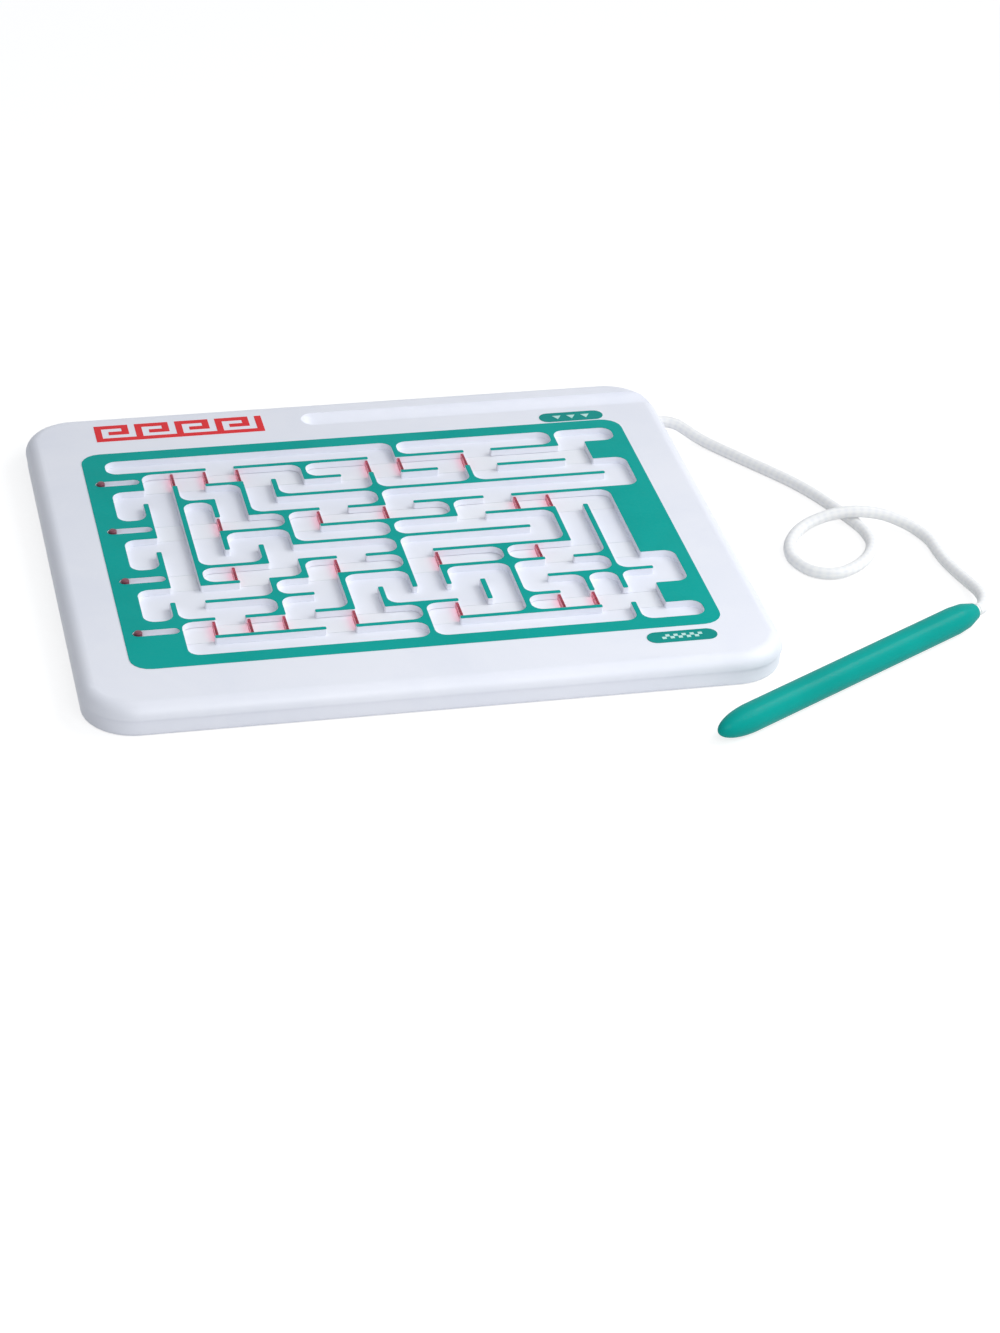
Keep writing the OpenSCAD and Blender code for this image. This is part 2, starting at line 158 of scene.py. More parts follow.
def piece(name, bm, material, body, replaces=None, sharp=SHARP_ANGLE):
    """Turn a finished bmesh into a piece. It rides on the body, or on none if no body is given."""
    for face in bm.faces:
        face.smooth = True
    for edge in bm.edges:
        edge.smooth = len(edge.link_faces) == 2 and edge.calc_face_angle(0.0) < sharp
    mesh = bpy.data.meshes.new(name)
    bm.to_mesh(mesh)
    bm.free()
    mesh.materials.append(material)
    made = bpy.data.objects.new(name, mesh)
    scene.collection.objects.link(made)
    weighted = made.modifiers.new("flat faces stay flat", "WEIGHTED_NORMAL")
    weighted.keep_sharp = True
    if body:
        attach(made, body)
    if replaces:
        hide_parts(replaces)
    print(f"{name}: {len(mesh.polygons)} faces on {body or 'two bodies'}")
    return made


print("piece helper ready: edges stay sharp from", round(math.degrees(SHARP_ANGLE)), "degrees")

# %% [markdown]
# ## Cord
# The cord is a limp braided line, about 4 mm thick. It leaves the right side of the case, falls to the table,
# makes one loop over itself and runs into the stylus. A curve with a round bevel would give a plain tube.
# Here the curve is evened out first, so that its rings are equally spaced, and the tube is then turned into a
# mesh whose points are moved in and out in a diamond pattern: that is the braid. The tube's own UV map says
# how far along and how far round each point is.

# %% Cord route in millimetres
# X counts from the right side of the board and Z from the middle of the cord where it lies on the table
CORD_DIAMETER = 4 * MM
CORD_RADIUS = CORD_DIAMETER / 2
CORD_ROUTE = [
    (-5, 73, 3.2), (-2.4, 73, 3.2), (0.1, 73, 3.2), (3.2, 72.4, 3.1), (6, 70.8, 2.6), (8.3, 68.3, 1.8),
    (11.1, 64.5, 0.8), (14.3, 60, 0.2), (18.6, 53.8, 0), (24.1, 45.5, 0), (29.6, 37.3, 0), (34.9, 29, 0),
    (39.6, 20, 0), (43.7, 10, 0), (47.3, 0, 0), (49.7, -9.5, 0), (49.3, -18.5, 0), (45.1, -26.8, 0),
    (38.3, -33, 0), (31.6, -35.5, 0), (25.4, -33.4, 0), (21.7, -27.7, 0), (20.7, -21, 0),
    (22.6, -13.9, 0.4), (27.3, -7.6, 1.4), (33.6, -4.1, 2.6), (41, -2.8, 3.8), (48.6, -3, 4.2),
    (56.9, -4.2, 3.1), (63.9, -7.8, 1.2), (67.9, -13, 0.1), (69.5, -19.5, 0), (69.7, -26.5, 0),
    (70.2, -33.5, 0), (71.4, -40.5, 0), (72.7, -47.5, 0.3), (73.3, -54.2, 1.2), (73.1, -60, 2.1),
    (72.5, -63.6, 2.5), (71.4, -66.6, 2.6), (69.9, -69, 2.6),
]
board_low, board_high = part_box("top_shell")
knot_low, knot_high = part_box("case_knot")
knot_middle = (knot_low + knot_high) / 2
hinge = Vector(next(joint["pos_m"] for joint in frame["joints"] if joint["name"] == "stylus_swing"))
cord_origin = Vector((board_high.x, 0, CORD_RADIUS))
free_route = [cord_origin + Vector(point) * MM for point in CORD_ROUTE]
print("cord route:", len(free_route), "points between the knot and the stylus")

# %% Even spacing along a smooth line
BRAID_STEP = 0.4 * MM
BEZIER_STEPS = 40


def smooth_line(points, step):
    """Points a step apart along a smooth curve through the given points."""
    ends = [points[0] * 2 - points[1], *points, points[-1] * 2 - points[-2]]
    line = []
    for before, here, there, after in zip(ends, ends[1:], ends[2:], ends[3:]):
        reach = (there - here).length / 3
        leave = here + (there - before).normalized() * reach
        arrive = there - (after - here).normalized() * reach
        line += interpolate_bezier(here, leave, arrive, there, BEZIER_STEPS)[:-1]
    line.append(points[-1])
    spaced, left = [line[0]], step
    for a, b in zip(line, line[1:]):
        span = (b - a).length
        while left <= span:
            spaced.append(a.lerp(b, left / span))
            left += step
        left -= span
    return spaced


cord_line = smooth_line([knot_middle, *free_route, hinge], BRAID_STEP)
cord_length = BRAID_STEP * (len(cord_line) - 1)
print("cord line:", len(cord_line), "points,", round(cord_length, 4), "m")

# %% Round tube along a line
CORD_ROUNDNESS = 10
TIP_SHARE = 0.05


def swept_tube(line, radius, closed, round_end):
    """A bmesh of a round tube along evenly spaced points. A round end narrows almost to a point."""
    curve = bpy.data.curves.new("sweep", "CURVE")
    curve.dimensions = "3D"
    curve.twist_mode = "MINIMUM"
    curve.bevel_depth = radius
    curve.bevel_resolution = CORD_ROUNDNESS
    curve.use_fill_caps = not closed
    spline = curve.splines.new("POLY")
    spline.points.add(len(line) - 1)
    spline.use_cyclic_u = closed
    for point, place in zip(spline.points, line):
        point.co = (*place, 1)
        to_end = (place - line[-1]).length
        if round_end and to_end < radius:
            point.radius = max(TIP_SHARE, math.sqrt(1 - (1 - to_end / radius) ** 2))
    holder = bpy.data.objects.new("sweep", curve)
    bm = bmesh.new()
    bm.from_mesh(bpy.data.meshes.new_from_object(holder))
    bpy.data.objects.remove(holder)
    return bm


print("tubes have", 2 * CORD_ROUNDNESS + 4, "points round them")

# %% Braid on a tube
BRAID_STRANDS = 8
BRAID_LENGTH = 2.6 * MM
BRAID_DEPTH = 0.03 * MM
MERGE_DISTANCE = 0.002 * MM


def braided_tube(line, radius, closed=False, round_end=False):
    """A bmesh of a braided cord. Its UV map counts yarn lengths along the cord and yarns round it."""
    bm = swept_tube(line, radius, closed, round_end)
    bmesh.ops.remove_doubles(bm, verts=bm.verts, dist=MERGE_DISTANCE)
    bm.normal_update()
    uv = bm.loops.layers.uv.active
    beats = round(sum((b - a).length for a, b in zip(line, line[1:])) / BRAID_LENGTH)
    for face in bm.faces:
        for loop in face.loops:
            loop[uv].uv = (loop[uv].uv.x * beats, loop[uv].uv.y * BRAID_STRANDS)
    for vert in bm.verts:
        along, around = next(loop for loop in vert.link_loops if len(loop.face.verts) == 4)[uv].uv
        relief = (math.cos(math.tau * along) + math.cos(math.tau * around)) / 2
        vert.co += vert.normal * BRAID_DEPTH * (relief - 1) / 2
    return bm


print("braid:", BRAID_STRANDS, "yarns round the cord,", BRAID_LENGTH / MM, "mm to a yarn")

# %% [markdown]
# The cord's material follows the braid with the same UV map: the valleys between the yarns get painted shade,
# a slightly greyer colour, and fine fibres run over the yarns. White cotton scatters light, so it is rough
# and has some sheen.

# %% Cord material
FIBRE_RELIEF = 0.05 * MM


def cord_material():
    """White cotton with painted shade in the braid's valleys, and fibres that follow the braid."""
    material, tree, shader, _ = new_material("white braided cord", Roughness=0.8, Sheen_Weight=0.2)
    braid = put(tree, "UVMap", uv_map="UVMap").outputs["UV"]
    counts = put(tree, "SeparateXYZ", {"Vector": braid}).outputs
    turns = [maths(tree, "MULTIPLY", counts[axis], math.tau) for axis in "XY"]
    relief = maths(tree, "ADD", *[maths(tree, "COSINE", turn) for turn in turns])
    shade = put(tree, "MapRange", {"Value": relief, "From Min": -2.0, "From Max": 0.8}).outputs[0]
    # Painted shade: the valleys between the yarns are greyer than the tops of the yarns
    valley_painted_shade, yarn = screen_colour(236, 237, 239), screen_colour(245, 245, 244)
    colour = put(tree, "Mix", {0: shade, 6: valley_painted_shade, 7: yarn}, data_type="RGBA").outputs[2]
    fibres = put(tree, "TexNoise", {"Vector": braid, "Scale": 3.0, "Detail": 5.0, "Roughness": 0.7})
    bump = put(tree, "Bump", {"Height": fibres.outputs[0], "Strength": 0.5, "Distance": FIBRE_RELIEF})
    fill_inputs(tree, shader, {"Base Color": colour, "Normal": bump.outputs["Normal"]})
    return material


WHITE_CORD = cord_material()
print("cord finish:", WHITE_CORD.name)

# %% [markdown]
# Inside the case a knot stops the cord. A knot can't be guessed by eye, but the trefoil has a formula, so its
# closed line is worked out and swept in the same way. In the stylus a stub of the same cord is glued in. It
# turns with the stylus, and its round end hides the place where the free cord meets it. The free cord rides
# on no body.

# %% Lines of the stub and the knot
STUB_LENGTH = 10 * MM
STYLUS_TURN = math.radians(210)
stylus_way = Vector((math.cos(STYLUS_TURN), math.sin(STYLUS_TURN), 0))
stub_ends = [hinge + stylus_way * STUB_LENGTH, hinge - stylus_way * CORD_RADIUS]
stub_line = smooth_line(stub_ends, BRAID_STEP / 2)

KNOT_STRAND = 1.05 * MM
KNOT_POINTS = 120
TREFOIL_REACH = 3
knot_scale = ((knot_high.y - knot_low.y) / 2 - KNOT_STRAND) / TREFOIL_REACH
knot_line = []
for step in range(KNOT_POINTS):
    t = math.tau * step / KNOT_POINTS
    across, up = math.sin(t) + 2 * math.sin(2 * t), math.cos(t) - 2 * math.cos(2 * t)
    knot_line.append(knot_middle + Vector((-math.sin(3 * t), across, up)) * knot_scale)
print("stub line:", len(stub_line), "points, knot line:", len(knot_line), "points")

# %% Free cord, stub and knot
SMOOTH_ALL = math.pi

free_cord = piece("braided_cord", braided_tube(cord_line, CORD_RADIUS), WHITE_CORD,
                  body=None, replaces="cord", sharp=SMOOTH_ALL)
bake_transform(free_cord)
cord_stub = piece("cord_stub", braided_tube(stub_line, CORD_RADIUS, round_end=True), WHITE_CORD,
                  body="pointer", replaces="cord_end", sharp=SMOOTH_ALL)
cord_knot = piece("cord_knot", braided_tube(knot_line, KNOT_STRAND, closed=True), WHITE_CORD,
                  body="case", replaces="case_knot", sharp=SMOOTH_ALL)

# %% [markdown]
# ## Finishes shared by the moulded and printed pieces
# The case, the sliders, the gates, the pegs and the stylus are all injection-moulded. Two things make such
# plastic look real: a fine spark-eroded grain with a slow change of gloss, and a faint film of handling that
# greys the surface in soft patches. Both are needed on several pieces, so each is a shader group that is
# built once. The grain gives a height for a bump and a roughness, and the handling film gives a colour.

# %% Shader group helpers
def new_group(name, inputs, outputs):
    """An empty shader group with the named sockets, and its two end nodes."""
    group = bpy.data.node_groups.new(name, "ShaderNodeTree")
    for side, sockets in (("INPUT", inputs), ("OUTPUT", outputs)):
        for label, kind in sockets.items():
            group.interface.new_socket(label, in_out=side, socket_type="NodeSocket" + kind)
    return group, group.nodes.new("NodeGroupInput").outputs, group.nodes.new("NodeGroupOutput")


def use_group(tree, group, inputs):
    """Place a shader group in a material with its own values, and give its outputs."""
    made = tree.nodes.new("ShaderNodeGroup")
    made.node_tree = group
    fill_inputs(tree, made, inputs)
    return made.outputs


print("group helpers ready")

# %% Shader group: moulded grain
FLOW_SIZE = 26 * MM


def moulded_grain_group():
    """Fine grain, and a gloss that changes slowly with the flow of the plastic."""
    group, given, result = new_group(
        "moulded grain",
        {"Vector": "Vector", "Grain Size": "Float", "Smooth": "Float", "Rough": "Float"},
        {"Height": "Float", "Roughness": "Float"})
    place, per_metre = given["Vector"], maths(group, "DIVIDE", 1.0, given["Grain Size"])
    grain = put(group, "TexNoise", {"Vector": place, "Scale": per_metre, "Detail": 3.0}).outputs[0]
    flow = put(group, "TexNoise", {"Vector": place, "Scale": 1 / FLOW_SIZE, "Detail": 4.0}).outputs[0]
    gloss = put(group, "MapRange", {
        "Value": maths(group, "MULTIPLY", grain, flow), "From Min": 0.1, "From Max": 0.45,
        "To Min": given["Smooth"], "To Max": given["Rough"]})
    fill_inputs(group, result, {"Height": grain, "Roughness": gloss.outputs[0]})
    return group


MOULDED_GRAIN = moulded_grain_group()
print("shader group:", MOULDED_GRAIN.name)

# %% Shader group: handling film
def handling_film_group():
    """Soft patches of a second colour over the first."""
    group, given, result = new_group(
        "handling film",
        {"Vector": "Vector", "Clean": "Color", "Handled": "Color", "Patch Size": "Float"},
        {"Color": "Color"})
    per_metre = maths(group, "DIVIDE", 1.0, given["Patch Size"])
    patches = put(group, "TexNoise", {
        "Vector": given["Vector"], "Scale": per_metre, "Detail": 6.0, "Roughness": 0.6,
        "Distortion": 0.4}).outputs[0]
    share = put(group, "MapRange", {"Value": patches, "From Min": 0.42, "From Max": 0.72}).outputs[0]
    mixed = put(group, "Mix", {0: share, 6: given["Clean"], 7: given["Handled"]}, data_type="RGBA")
    fill_inputs(group, result, {"Color": mixed.outputs[2]})
    return group


HANDLING_FILM = handling_film_group()
print("shader group:", HANDLING_FILM.name)

# %% [markdown]
# ## Plastics
# One recipe serves every moulded surface: the handling film gives the colour, the grain gives gloss and bump,
# and the values that are even all over the piece are set on the shader itself. The white case is a satin
# polystyrene, the pegs are a dark red, and the stylus has a dull skin like that of a soft plastic.

# %% Recipe for a grained surface
def grained(name, clean, handled, smooth, rough, grain_mm=0.35, bump_mm=0.012, patch_mm=45.0,
            bump_strength=0.35, **principled):
    """A grained material. Clean and handled are screen colours, smooth and rough the ends of its gloss."""
    material, tree, shader, place = new_material(name, **principled)
    grain = use_group(tree, MOULDED_GRAIN, {
        "Vector": place, "Grain Size": grain_mm * MM, "Smooth": smooth, "Rough": rough})
    film = use_group(tree, HANDLING_FILM, {
        "Vector": place, "Clean": screen_colour(*clean), "Handled": screen_colour(*handled),
        "Patch Size": patch_mm * MM})
    bump = put(tree, "Bump", {
        "Height": grain["Height"], "Strength": bump_strength, "Distance": bump_mm * MM})
    fill_inputs(tree, shader, {
        "Base Color": film["Color"], "Roughness": grain["Roughness"], "Normal": bump.outputs["Normal"]})
    return material


print("recipe ready: grain and handling film")

# %% Plastic materials
WHITE_CASE = grained("white case plastic", (239, 241, 249), (233, 236, 246), smooth=0.36, rough=0.48)
WHITE_SLIDER = grained("white slider plastic", (240, 242, 248), (234, 237, 245), smooth=0.32, rough=0.44)
DARK_RED_PEG = grained("dark red peg plastic", (122, 56, 74), (110, 48, 66), smooth=0.34, rough=0.46,
                       patch_mm=3.0)
TEAL_STYLUS = grained("teal stylus plastic", (2, 156, 147), (0, 150, 141), smooth=0.4, rough=0.54,
                      grain_mm=0.5, bump_mm=0.008, patch_mm=30.0, Specular_IOR_Level=0.05,
                      Coat_Weight=0.06, Coat_Roughness=0.12)
plastics = (WHITE_CASE, WHITE_SLIDER, DARK_RED_PEG, TEAL_STYLUS)
print("plastics:", [finish.name for finish in plastics])

# %% [markdown]
# ## Case
# The two shells come straight from the frame, because the maze has to fit its sliders exactly. Real mouldings
# have no knife edges, so the rims of the lanes, of the peg slots and of the stylus tray are rounded with a
# small bevel. The choice of edges is a rule and not a list: an edge is a rim if both its ends lie in one
# level and it turns sharply. The same rule finds the rims of the screw holes in the back. Along the parting
# line only the outer edges are wanted: they are broken on both shells, which makes the fine dark groove where
# the case opens.

# %% Copy and edge helpers
LEVEL_TOLERANCE = 0.01 * MM
JOIN_TURN = math.radians(0.5)
RIM_TURN = math.radians(35)
ROUND_SEGMENTS = 2


def node_copy(node):
    """A merged copy of a node's mesh, with its flat triangles joined into whole faces."""
    bm = bmesh.new()
    bm.from_mesh(frame["nodes"][node].data)
    bmesh.ops.remove_doubles(bm, verts=bm.verts, dist=MERGE_DISTANCE)
    bmesh.ops.dissolve_limit(bm, angle_limit=JOIN_TURN, verts=bm.verts, edges=bm.edges)
    return bm


def sharp_edges(bm):
    """Edges between two faces that turn sharply."""
    return [edge for edge in bm.edges
            if len(edge.link_faces) == 2 and edge.calc_face_angle(0.0) > RIM_TURN]


def rims_at(bm, height):
    """Sharp edges that lie in the level at that height."""
    return [edge for edge in sharp_edges(bm)
            if all(abs(vert.co.z - height) < LEVEL_TOLERANCE for vert in edge.verts)]


def round_edges(bm, edges, radius):
    """Round the given edges with a small bevel."""
    bmesh.ops.bevel(bm, geom=edges, offset=radius, offset_type="OFFSET", affect="EDGES",
                    segments=ROUND_SEGMENTS, profile=0.5, material=-1, clamp_overlap=True)
    print("rounded", len(edges), "edges to", round(radius / MM, 2), "mm")


print("edge helpers ready: a rim turns more than", round(math.degrees(RIM_TURN)), "degrees")

# %% Parting line
CORNER_RADIUS = 17 * MM
OUTSIDE = 0.6 * MM


def inset(point):
    """How far a point lies in from the outline of the board."""
    across = board_high.x - CORNER_RADIUS - abs(point.x)
    along = board_high.y - CORNER_RADIUS - abs(point.y)
    if across < 0 and along < 0:
        return CORNER_RADIUS - math.hypot(across, along)
    return CORNER_RADIUS + min(across, along)


def parting_edges(bm, height):
    """The rims at that height that lie on the outside of the case."""
    return [edge for edge in rims_at(bm, height) if all(inset(vert.co) < OUTSIDE for vert in edge.verts)]


print("parting line:", round(board_low.z / MM, 2), "mm above the table")

# %% Top shell
RIM_RADIUS = 0.14 * MM
TOP_EDGE_RADIUS = 0.15 * MM
case_top = node_copy("top_shell")
round_edges(case_top, rims_at(case_top, board_high.z), RIM_RADIUS)
round_edges(case_top, parting_edges(case_top, board_low.z), TOP_EDGE_RADIUS)
piece("case_top", case_top, WHITE_CASE, body="case", replaces="top_shell")

# %% Back cover
HOLE_RIM_RADIUS = 0.25 * MM
BACK_EDGE_RADIUS = 0.5 * MM
case_back = node_copy("bottom_shell")
back_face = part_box("bottom_shell")[0].z
round_edges(case_back, rims_at(case_back, back_face), HOLE_RIM_RADIUS)
round_edges(case_back, parting_edges(case_back, board_low.z), BACK_EDGE_RADIUS)
piece("case_back", case_back, WHITE_CASE, body="case", replaces="bottom_shell")

# %% [markdown]
# ## Printing inks
# The teal panel, the two pads and the red band are screen-printed: a matte film with a hint of the mesh it
# was pushed through and a slightly uneven layer. A fine row of bumps and a slow change of shade give that, on
# top of the recipe for a grained surface. The pale marks on the pads are the same kind of ink. The panel and
# the pads already have their exact outline in the frame, so they keep their shape and only get this finish.

# %% Ink materials
MESH_PITCH = 0.45 * MM
MESH_TURN = math.radians(22)
# Waves to a metre of a wave texture whose scale is 1
WAVES_PER_SCALE = 20 / math.tau


def ink(name, full, thin):
    """A screen-printed ink. Full and thin are the screen colours of a thick and of a thin layer."""
    material = grained(name, full, thin, smooth=0.42, rough=0.58, grain_mm=0.9, bump_mm=0.006,
                       patch_mm=22.0, bump_strength=0.2, Specular_IOR_Level=0.06)
    tree = material.node_tree
    place = tree.nodes["Texture Coordinate"].outputs["Object"]
    slanted = put(tree, "Mapping", {"Vector": place, "Rotation": (0, 0, MESH_TURN)}).outputs[0]
    threads = put(tree, "TexWave", {
        "Vector": slanted, "Scale": 1 / (MESH_PITCH * WAVES_PER_SCALE), "Distortion": 0.6}).outputs[1]
    bump = tree.nodes["Bump"]
    grain = bump.inputs["Height"].links[0].from_socket
    fill_inputs(tree, bump, {"Height": maths(tree, "ADD", threads, grain)})
    return material


TEAL_INK = ink("teal maze ink", (4, 165, 156), (2, 159, 150))
PAD_INK = ink("deep teal pad ink", (16, 148, 140), (12, 140, 132))
RED_INK = ink("red band ink", (236, 62, 66), (228, 54, 60))
PALE_INK = ink("pale mark ink", (196, 236, 230), (184, 228, 222))
print("inks:", [finish.name for finish in (TEAL_INK, PAD_INK, RED_INK, PALE_INK)])

# %% Flat pieces that keep their shape
SLIDES = (1, 2, 3, 4)


def finish_node(node, material):
    """Give a node that keeps its own shape its finished material."""
    materials = frame["nodes"][node].data.materials
    materials.clear()
    materials.append(material)
    print(f"{node}: {material.name}")


finish_node("maze_print", TEAL_INK)
finish_node("start_pad", PAD_INK)
finish_node("finish_pad", PAD_INK)
for number in SLIDES:
    finish_node(f"slider_{number}", WHITE_SLIDER)

# %% [markdown]
# ## Gates
# A gate is a thin blade of clear red plastic across a lane. Its broad faces look pink, because light comes
# through them, and its narrow top looks dark, because the eye looks down through the whole height of the
# blade. Both are painted into the colour: a mask from the direction of each face gives the sides painted
# light, a pink, and the top painted shade, a dark red. Lamps cast no coloured light through a refracting
# solid, so for shadow rays alone the blade is a plain tinted sheet: that puts a pink shadow in the lane.
# Every edge is broken with a small round, as it comes from the mould.

# %% Clear red plastic
def gate_plastic():
    """A clear plastic with painted light, a pink, on its sides, painted shade, a dark red, on its top, and a
    tinted sheet to the lamps.
    """
    # Painted light: this pink stands for the light that comes through the sides of the blade
    material = grained("red gate plastic", (236, 158, 172), (228, 146, 162), smooth=0.2, rough=0.32,
                       patch_mm=8.0, Transmission_Weight=0.6, IOR=1.2)
    # Painted shade: the top of the blade is a darker red; the tint is what the lamps' light takes on through
    # it
    painted_shade_top, tint = screen_colour(170, 68, 90), screen_colour(246, 206, 216)
    tree = material.node_tree
    shader = tree.nodes["Principled BSDF"]
    pink = shader.inputs["Base Color"].links[0].from_socket
    outward = put(tree, "TexCoord").outputs["Normal"]
    upward = put(tree, "SeparateXYZ", {"Vector": outward}).outputs["Z"]
    # Mask of the faces that look up, which get the painted shade
    shaded_top_mask = put(tree, "MapRange", {"Value": upward, "From Min": 0.3, "From Max": 0.8}).outputs[0]
    reds = put(tree, "Mix", {0: shaded_top_mask, 6: pink, 7: painted_shade_top}, data_type="RGBA")
    fill_inputs(tree, shader, {"Base Color": reds.outputs[2]})
    sheet = put(tree, "BsdfTransparent", {"Color": tint})
    for_shadow = put(tree, "LightPath").outputs["Is Shadow Ray"]
    mixed = put(tree, "MixShader", {0: for_shadow, 1: shader.outputs["BSDF"], 2: sheet.outputs[0]})
    fill_inputs(tree, tree.nodes["Material Output"], {"Surface": mixed.outputs[0]})
    return material


RED_GATE = gate_plastic()
print("gate finish:", RED_GATE.name)

# %% Gate blades
GATE_EDGE_RADIUS = 0.12 * MM
for number in SLIDES:
    blades = node_copy(f"gates_{number}")
    round_edges(blades, sharp_edges(blades), GATE_EDGE_RADIUS)
    piece(f"gate_blades_{number}", blades, RED_GATE,
          body=f"slide_{number}", replaces=f"gates_{number}")

# %% [markdown]
# ## Turned pieces
# Pegs, screws and the stylus are round, so each is drawn as half a profile and spun about its axis. The spin
# leaves a seam and, where the profile touches the axis, a bunch of points: merging doubles closes both, and
# the normals are then recalculated because a spin can turn a shape inside out.

# %% Profile and spin helpers
ARC_STEPS = 8


def arc(x, y, radius, start, stop, steps=ARC_STEPS):
    """Profile points on an arc, with angles in degrees."""
    turns = [math.radians(start + (stop - start) * k / steps) for k in range(steps + 1)]
    return [(x + radius * math.cos(turn), y + radius * math.sin(turn)) for turn in turns]


def turned(profile, steps):
    """A bmesh spun about Z from (radius, height) points."""
    bm = bmesh.new()
    verts = [bm.verts.new((radius, 0, height)) for radius, height in profile]
    edges = [bm.edges.new(pair) for pair in zip(verts, verts[1:])]
    bmesh.ops.spin(bm, geom=verts + edges, cent=(0, 0, 0), axis=(0, 0, 1), angle=math.tau, steps=steps,
                   use_merge=True, use_duplicate=False)
    bmesh.ops.remove_doubles(bm, verts=bm.verts, dist=MERGE_DISTANCE)
    bmesh.ops.recalc_face_normals(bm, faces=bm.faces)
    return bm


print("spin helpers ready")

# %% Finger pegs
PEG_DOME = 0.65 * MM
PEG_STEPS = 40
for number in SLIDES:
    low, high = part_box(f"peg_{number}")
    radius, height = (high.x - low.x) / 2, high.z - low.z
    shoulder = arc(radius - PEG_DOME, height - PEG_DOME, PEG_DOME, 0, 90)
    peg = turned([(0, 0), (radius, 0), *shoulder, (0, height)], PEG_STEPS)
    bmesh.ops.translate(peg, verts=peg.verts, vec=((low.x + high.x) / 2, (low.y + high.y) / 2, low.z))
    piece(f"finger_peg_{number}", peg, DARK_RED_PEG,
          body=f"slide_{number}", replaces=f"peg_{number}")

# %% [markdown]
# ## Stylus
# The stylus is a moulded rod: a tapered tail with the cord's socket, a straight grip and an oval nose. One
# profile holds them all, socket included. Such rods are moulded in two halves, so a faint seam runs along
# both sides: two columns of points of the spin are moved out by a few hundredths of a millimetre.

# %% Stylus profile
TAIL_OUT = 1 * MM
TAIL_LENGTH = 10 * MM
TAIL_RADIUS = 2.8 * MM
TAIL_EDGE = TAIL_RADIUS / 5
NOSE_LENGTH = 14 * MM
NOSE_STEPS = 20
SOCKET_DEPTH = 9 * MM
SOCKET_RADIUS = CORD_RADIUS + 0.04 * MM
SOCKET_EDGE = 0.12 * MM

stylus_low, stylus_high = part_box("stylus")
grip_radius = (stylus_high.z - stylus_low.z) / 2
tail_swell = (TAIL_RADIUS + 3 * grip_radius) / 4
tail_place = hinge + stylus_way * TAIL_OUT
stylus_verts = frame["nodes"]["stylus"].data.vertices
stylus_length = max((vert.co - tail_place).dot(stylus_way) for vert in stylus_verts)
nose_start = stylus_length - NOSE_LENGTH
stylus_profile = [
    (0, SOCKET_DEPTH), (SOCKET_RADIUS, SOCKET_DEPTH),
    (SOCKET_RADIUS, SOCKET_EDGE), (SOCKET_RADIUS + SOCKET_EDGE, 0),
    *arc(TAIL_RADIUS - TAIL_EDGE, TAIL_EDGE, TAIL_EDGE, -90, 0),
    (tail_swell, TAIL_LENGTH / 2), (grip_radius, TAIL_LENGTH),
    *[(grip_radius * x, nose_start + NOSE_LENGTH * y) for x, y in arc(0, 0, 1, 0, 90, NOSE_STEPS)],
]
print("stylus:", round(stylus_length / MM, 2), "mm long,", round(2 * grip_radius / MM, 2), "mm thick")

# %% Stylus
STYLUS_STEPS = 96
SEAM_HEIGHT = 0.05 * MM
SEAM_START = TAIL_LENGTH / 2
SEAM_END = stylus_length - NOSE_LENGTH / 4

stylus = turned(stylus_profile, STYLUS_STEPS)
for vert in stylus.verts:
    on_side = abs(vert.co.x) < LEVEL_TOLERANCE and abs(vert.co.y) > SOCKET_RADIUS
    if on_side and SEAM_START < vert.co.z < SEAM_END:
        vert.co.y += math.copysign(SEAM_HEIGHT, vert.co.y)
lie_down = Matrix.Rotation(STYLUS_TURN, 4, "Z") @ Matrix.Rotation(math.pi / 2, 4, "Y")
bmesh.ops.transform(stylus, matrix=Matrix.Translation(tail_place) @ lie_down, verts=stylus.verts)
piece("teal_stylus", stylus, TEAL_STYLUS, body="pointer", replaces="stylus")

# %% [markdown]
# ## Screws
# Six zinc-plated self-tapping screws hold the back cover. The head is spun with a hole in its face, and the
# cross recess is drawn in that hole: the outline of a plus is bridged to the ring of the head, pushed in,
# tapered and closed with a floor. One screw is made and then copied to its six places, which come from the
# frame. The steel takes the recipe for a grained surface, with a finer grain.

# %% One screw, head down, with its seat at the origin
HEAD_RADIUS = 2.3 * MM
HEAD_HEIGHT = 1.6 * MM
HEAD_EDGE = 0.7 * MM
HEAD_STEPS = 6
SHANK_RADIUS = 1.1 * MM
TIP_LENGTH = 1.5 * SHANK_RADIUS
TIP_RADIUS = SHANK_RADIUS / 4
RECESS_RING = 1.25 * MM
SCREW_STEPS = 48

screws_low, screws_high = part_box("case_screws")
seat_height = screws_low.z + HEAD_HEIGHT
shank_length = screws_high.z - seat_height
screws = turned([
    (RECESS_RING, -HEAD_HEIGHT),
    *arc(HEAD_RADIUS - HEAD_EDGE, HEAD_EDGE - HEAD_HEIGHT, HEAD_EDGE, -90, 0, HEAD_STEPS),
    (HEAD_RADIUS, 0), (SHANK_RADIUS, 0), (SHANK_RADIUS, shank_length - TIP_LENGTH),
    (TIP_RADIUS, shank_length), (0, shank_length)], SCREW_STEPS)
print("screw:", round((shank_length + HEAD_HEIGHT) / MM, 2), "mm long")

# %% Cross recess in the head
RECESS_REACH = 1.05 * MM
RECESS_HALF = 0.26 * MM
RECESS_DEPTH = 0.9 * MM
RECESS_TAPER = 0.6


def verts_of(items):
    """The points among the parts of a mesh that an operator gives back."""
    return [item for item in items if isinstance(item, bmesh.types.BMVert)]


